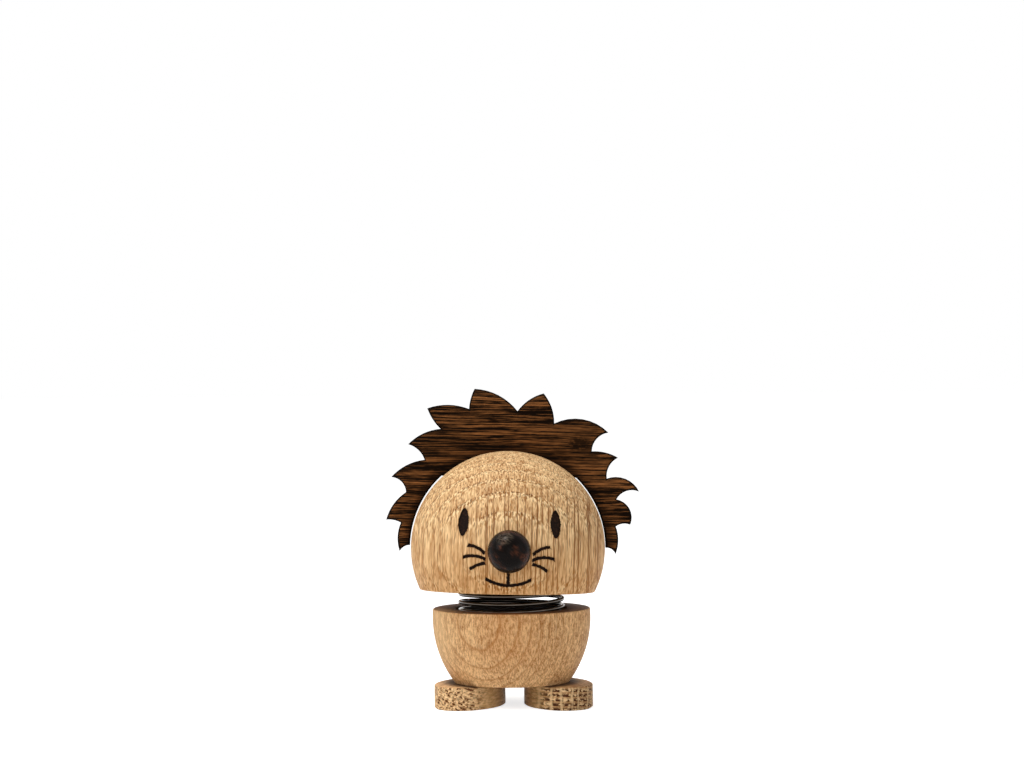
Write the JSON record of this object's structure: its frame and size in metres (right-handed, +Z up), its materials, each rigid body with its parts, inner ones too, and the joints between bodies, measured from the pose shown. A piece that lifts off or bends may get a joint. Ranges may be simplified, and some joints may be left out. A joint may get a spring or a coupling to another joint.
{
  "type": "wooden lion figurine",
  "caption": "Wooden lion ornament: a bowl-shaped body on oval feet carries a ball-shaped head with a dark plate mane on a wire spring, so the head bobs.",
  "frame": {"origin": "on the ground, in the middle of the figure's box, from the mane's left tuft to its right one and from the nose to the back of the head", "axes": "+Z up, the face looks along -Y, +X to the viewer's right"},
  "size_m": [0.0686, 0.0608, 0.0853],
  "materials": {
    "oak_body": "satin oiled oak",
    "oak_feet": "sanded oak, end grain at the toes",
    "oak_head": "satin oiled oak with a burnt face",
    "dark_wood": "dark streaked wood, oiled",
    "dark_nose": "dark wood, polished",
    "beech_dowels": "plain",
    "black_steel": "black, glossy"
  },
  "bodies": {
    "base": {"body": "oak_body", "left_foot": "oak_feet", "right_foot": "oak_feet", "left_foot_dowels": "beech_dowels", "right_foot_dowels": "beech_dowels"},
    "spring": {"spring": "black_steel"},
    "head": {"head": "oak_head", "mane": "dark_wood", "nose": "dark_nose", "nose_peg": "beech_dowels"}
  },
  "joints": [
    {"name": "head_nod", "type": "hinge", "parent": "base", "child": "spring", "pos_m": [-0.00053, 0.00386, 0.0285], "axis": [1, 0, 0], "range_deg": [-4, 8], "stiffness_Nm_per_rad": 0.036, "springref_deg": 0.32, "deforming": ["spring"]},
    {"name": "head_bounce", "type": "slide", "parent": "spring", "child": "head", "axis": [0, 0, 1], "range_m": [-0.0018, 0.006], "stiffness_N_per_m": 91, "springref_m": 0.00416, "deforming": ["spring"]}
  ]
}
